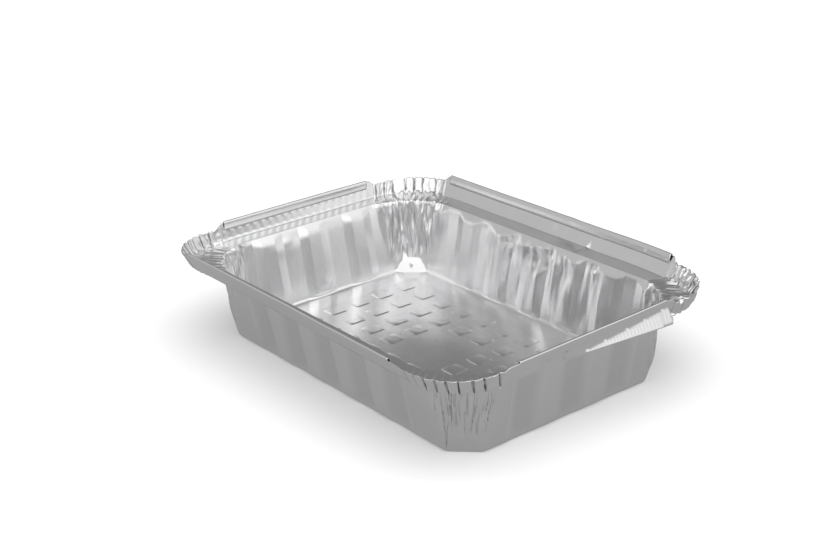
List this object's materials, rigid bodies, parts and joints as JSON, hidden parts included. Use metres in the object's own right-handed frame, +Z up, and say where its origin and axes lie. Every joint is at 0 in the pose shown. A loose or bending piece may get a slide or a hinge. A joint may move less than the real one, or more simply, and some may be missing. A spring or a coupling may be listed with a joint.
{
  "type": "aluminium foil tray",
  "caption": "Rectangular aluminium foil food tray with fluted walls, a lid ledge, hemmed upstands, crimped corners and an embossed floor.",
  "frame": {"origin": "centre of the base, on the plane the tray rests on", "axes": "+X along the tray's length, +Y across it, +Z up out of its mouth"},
  "size_m": [0.2202, 0.1656, 0.0493],
  "materials": {
    "foil": "satin"
  },
  "bodies": {
    "root": {"tray": "foil"}
  },
  "joints": []
}
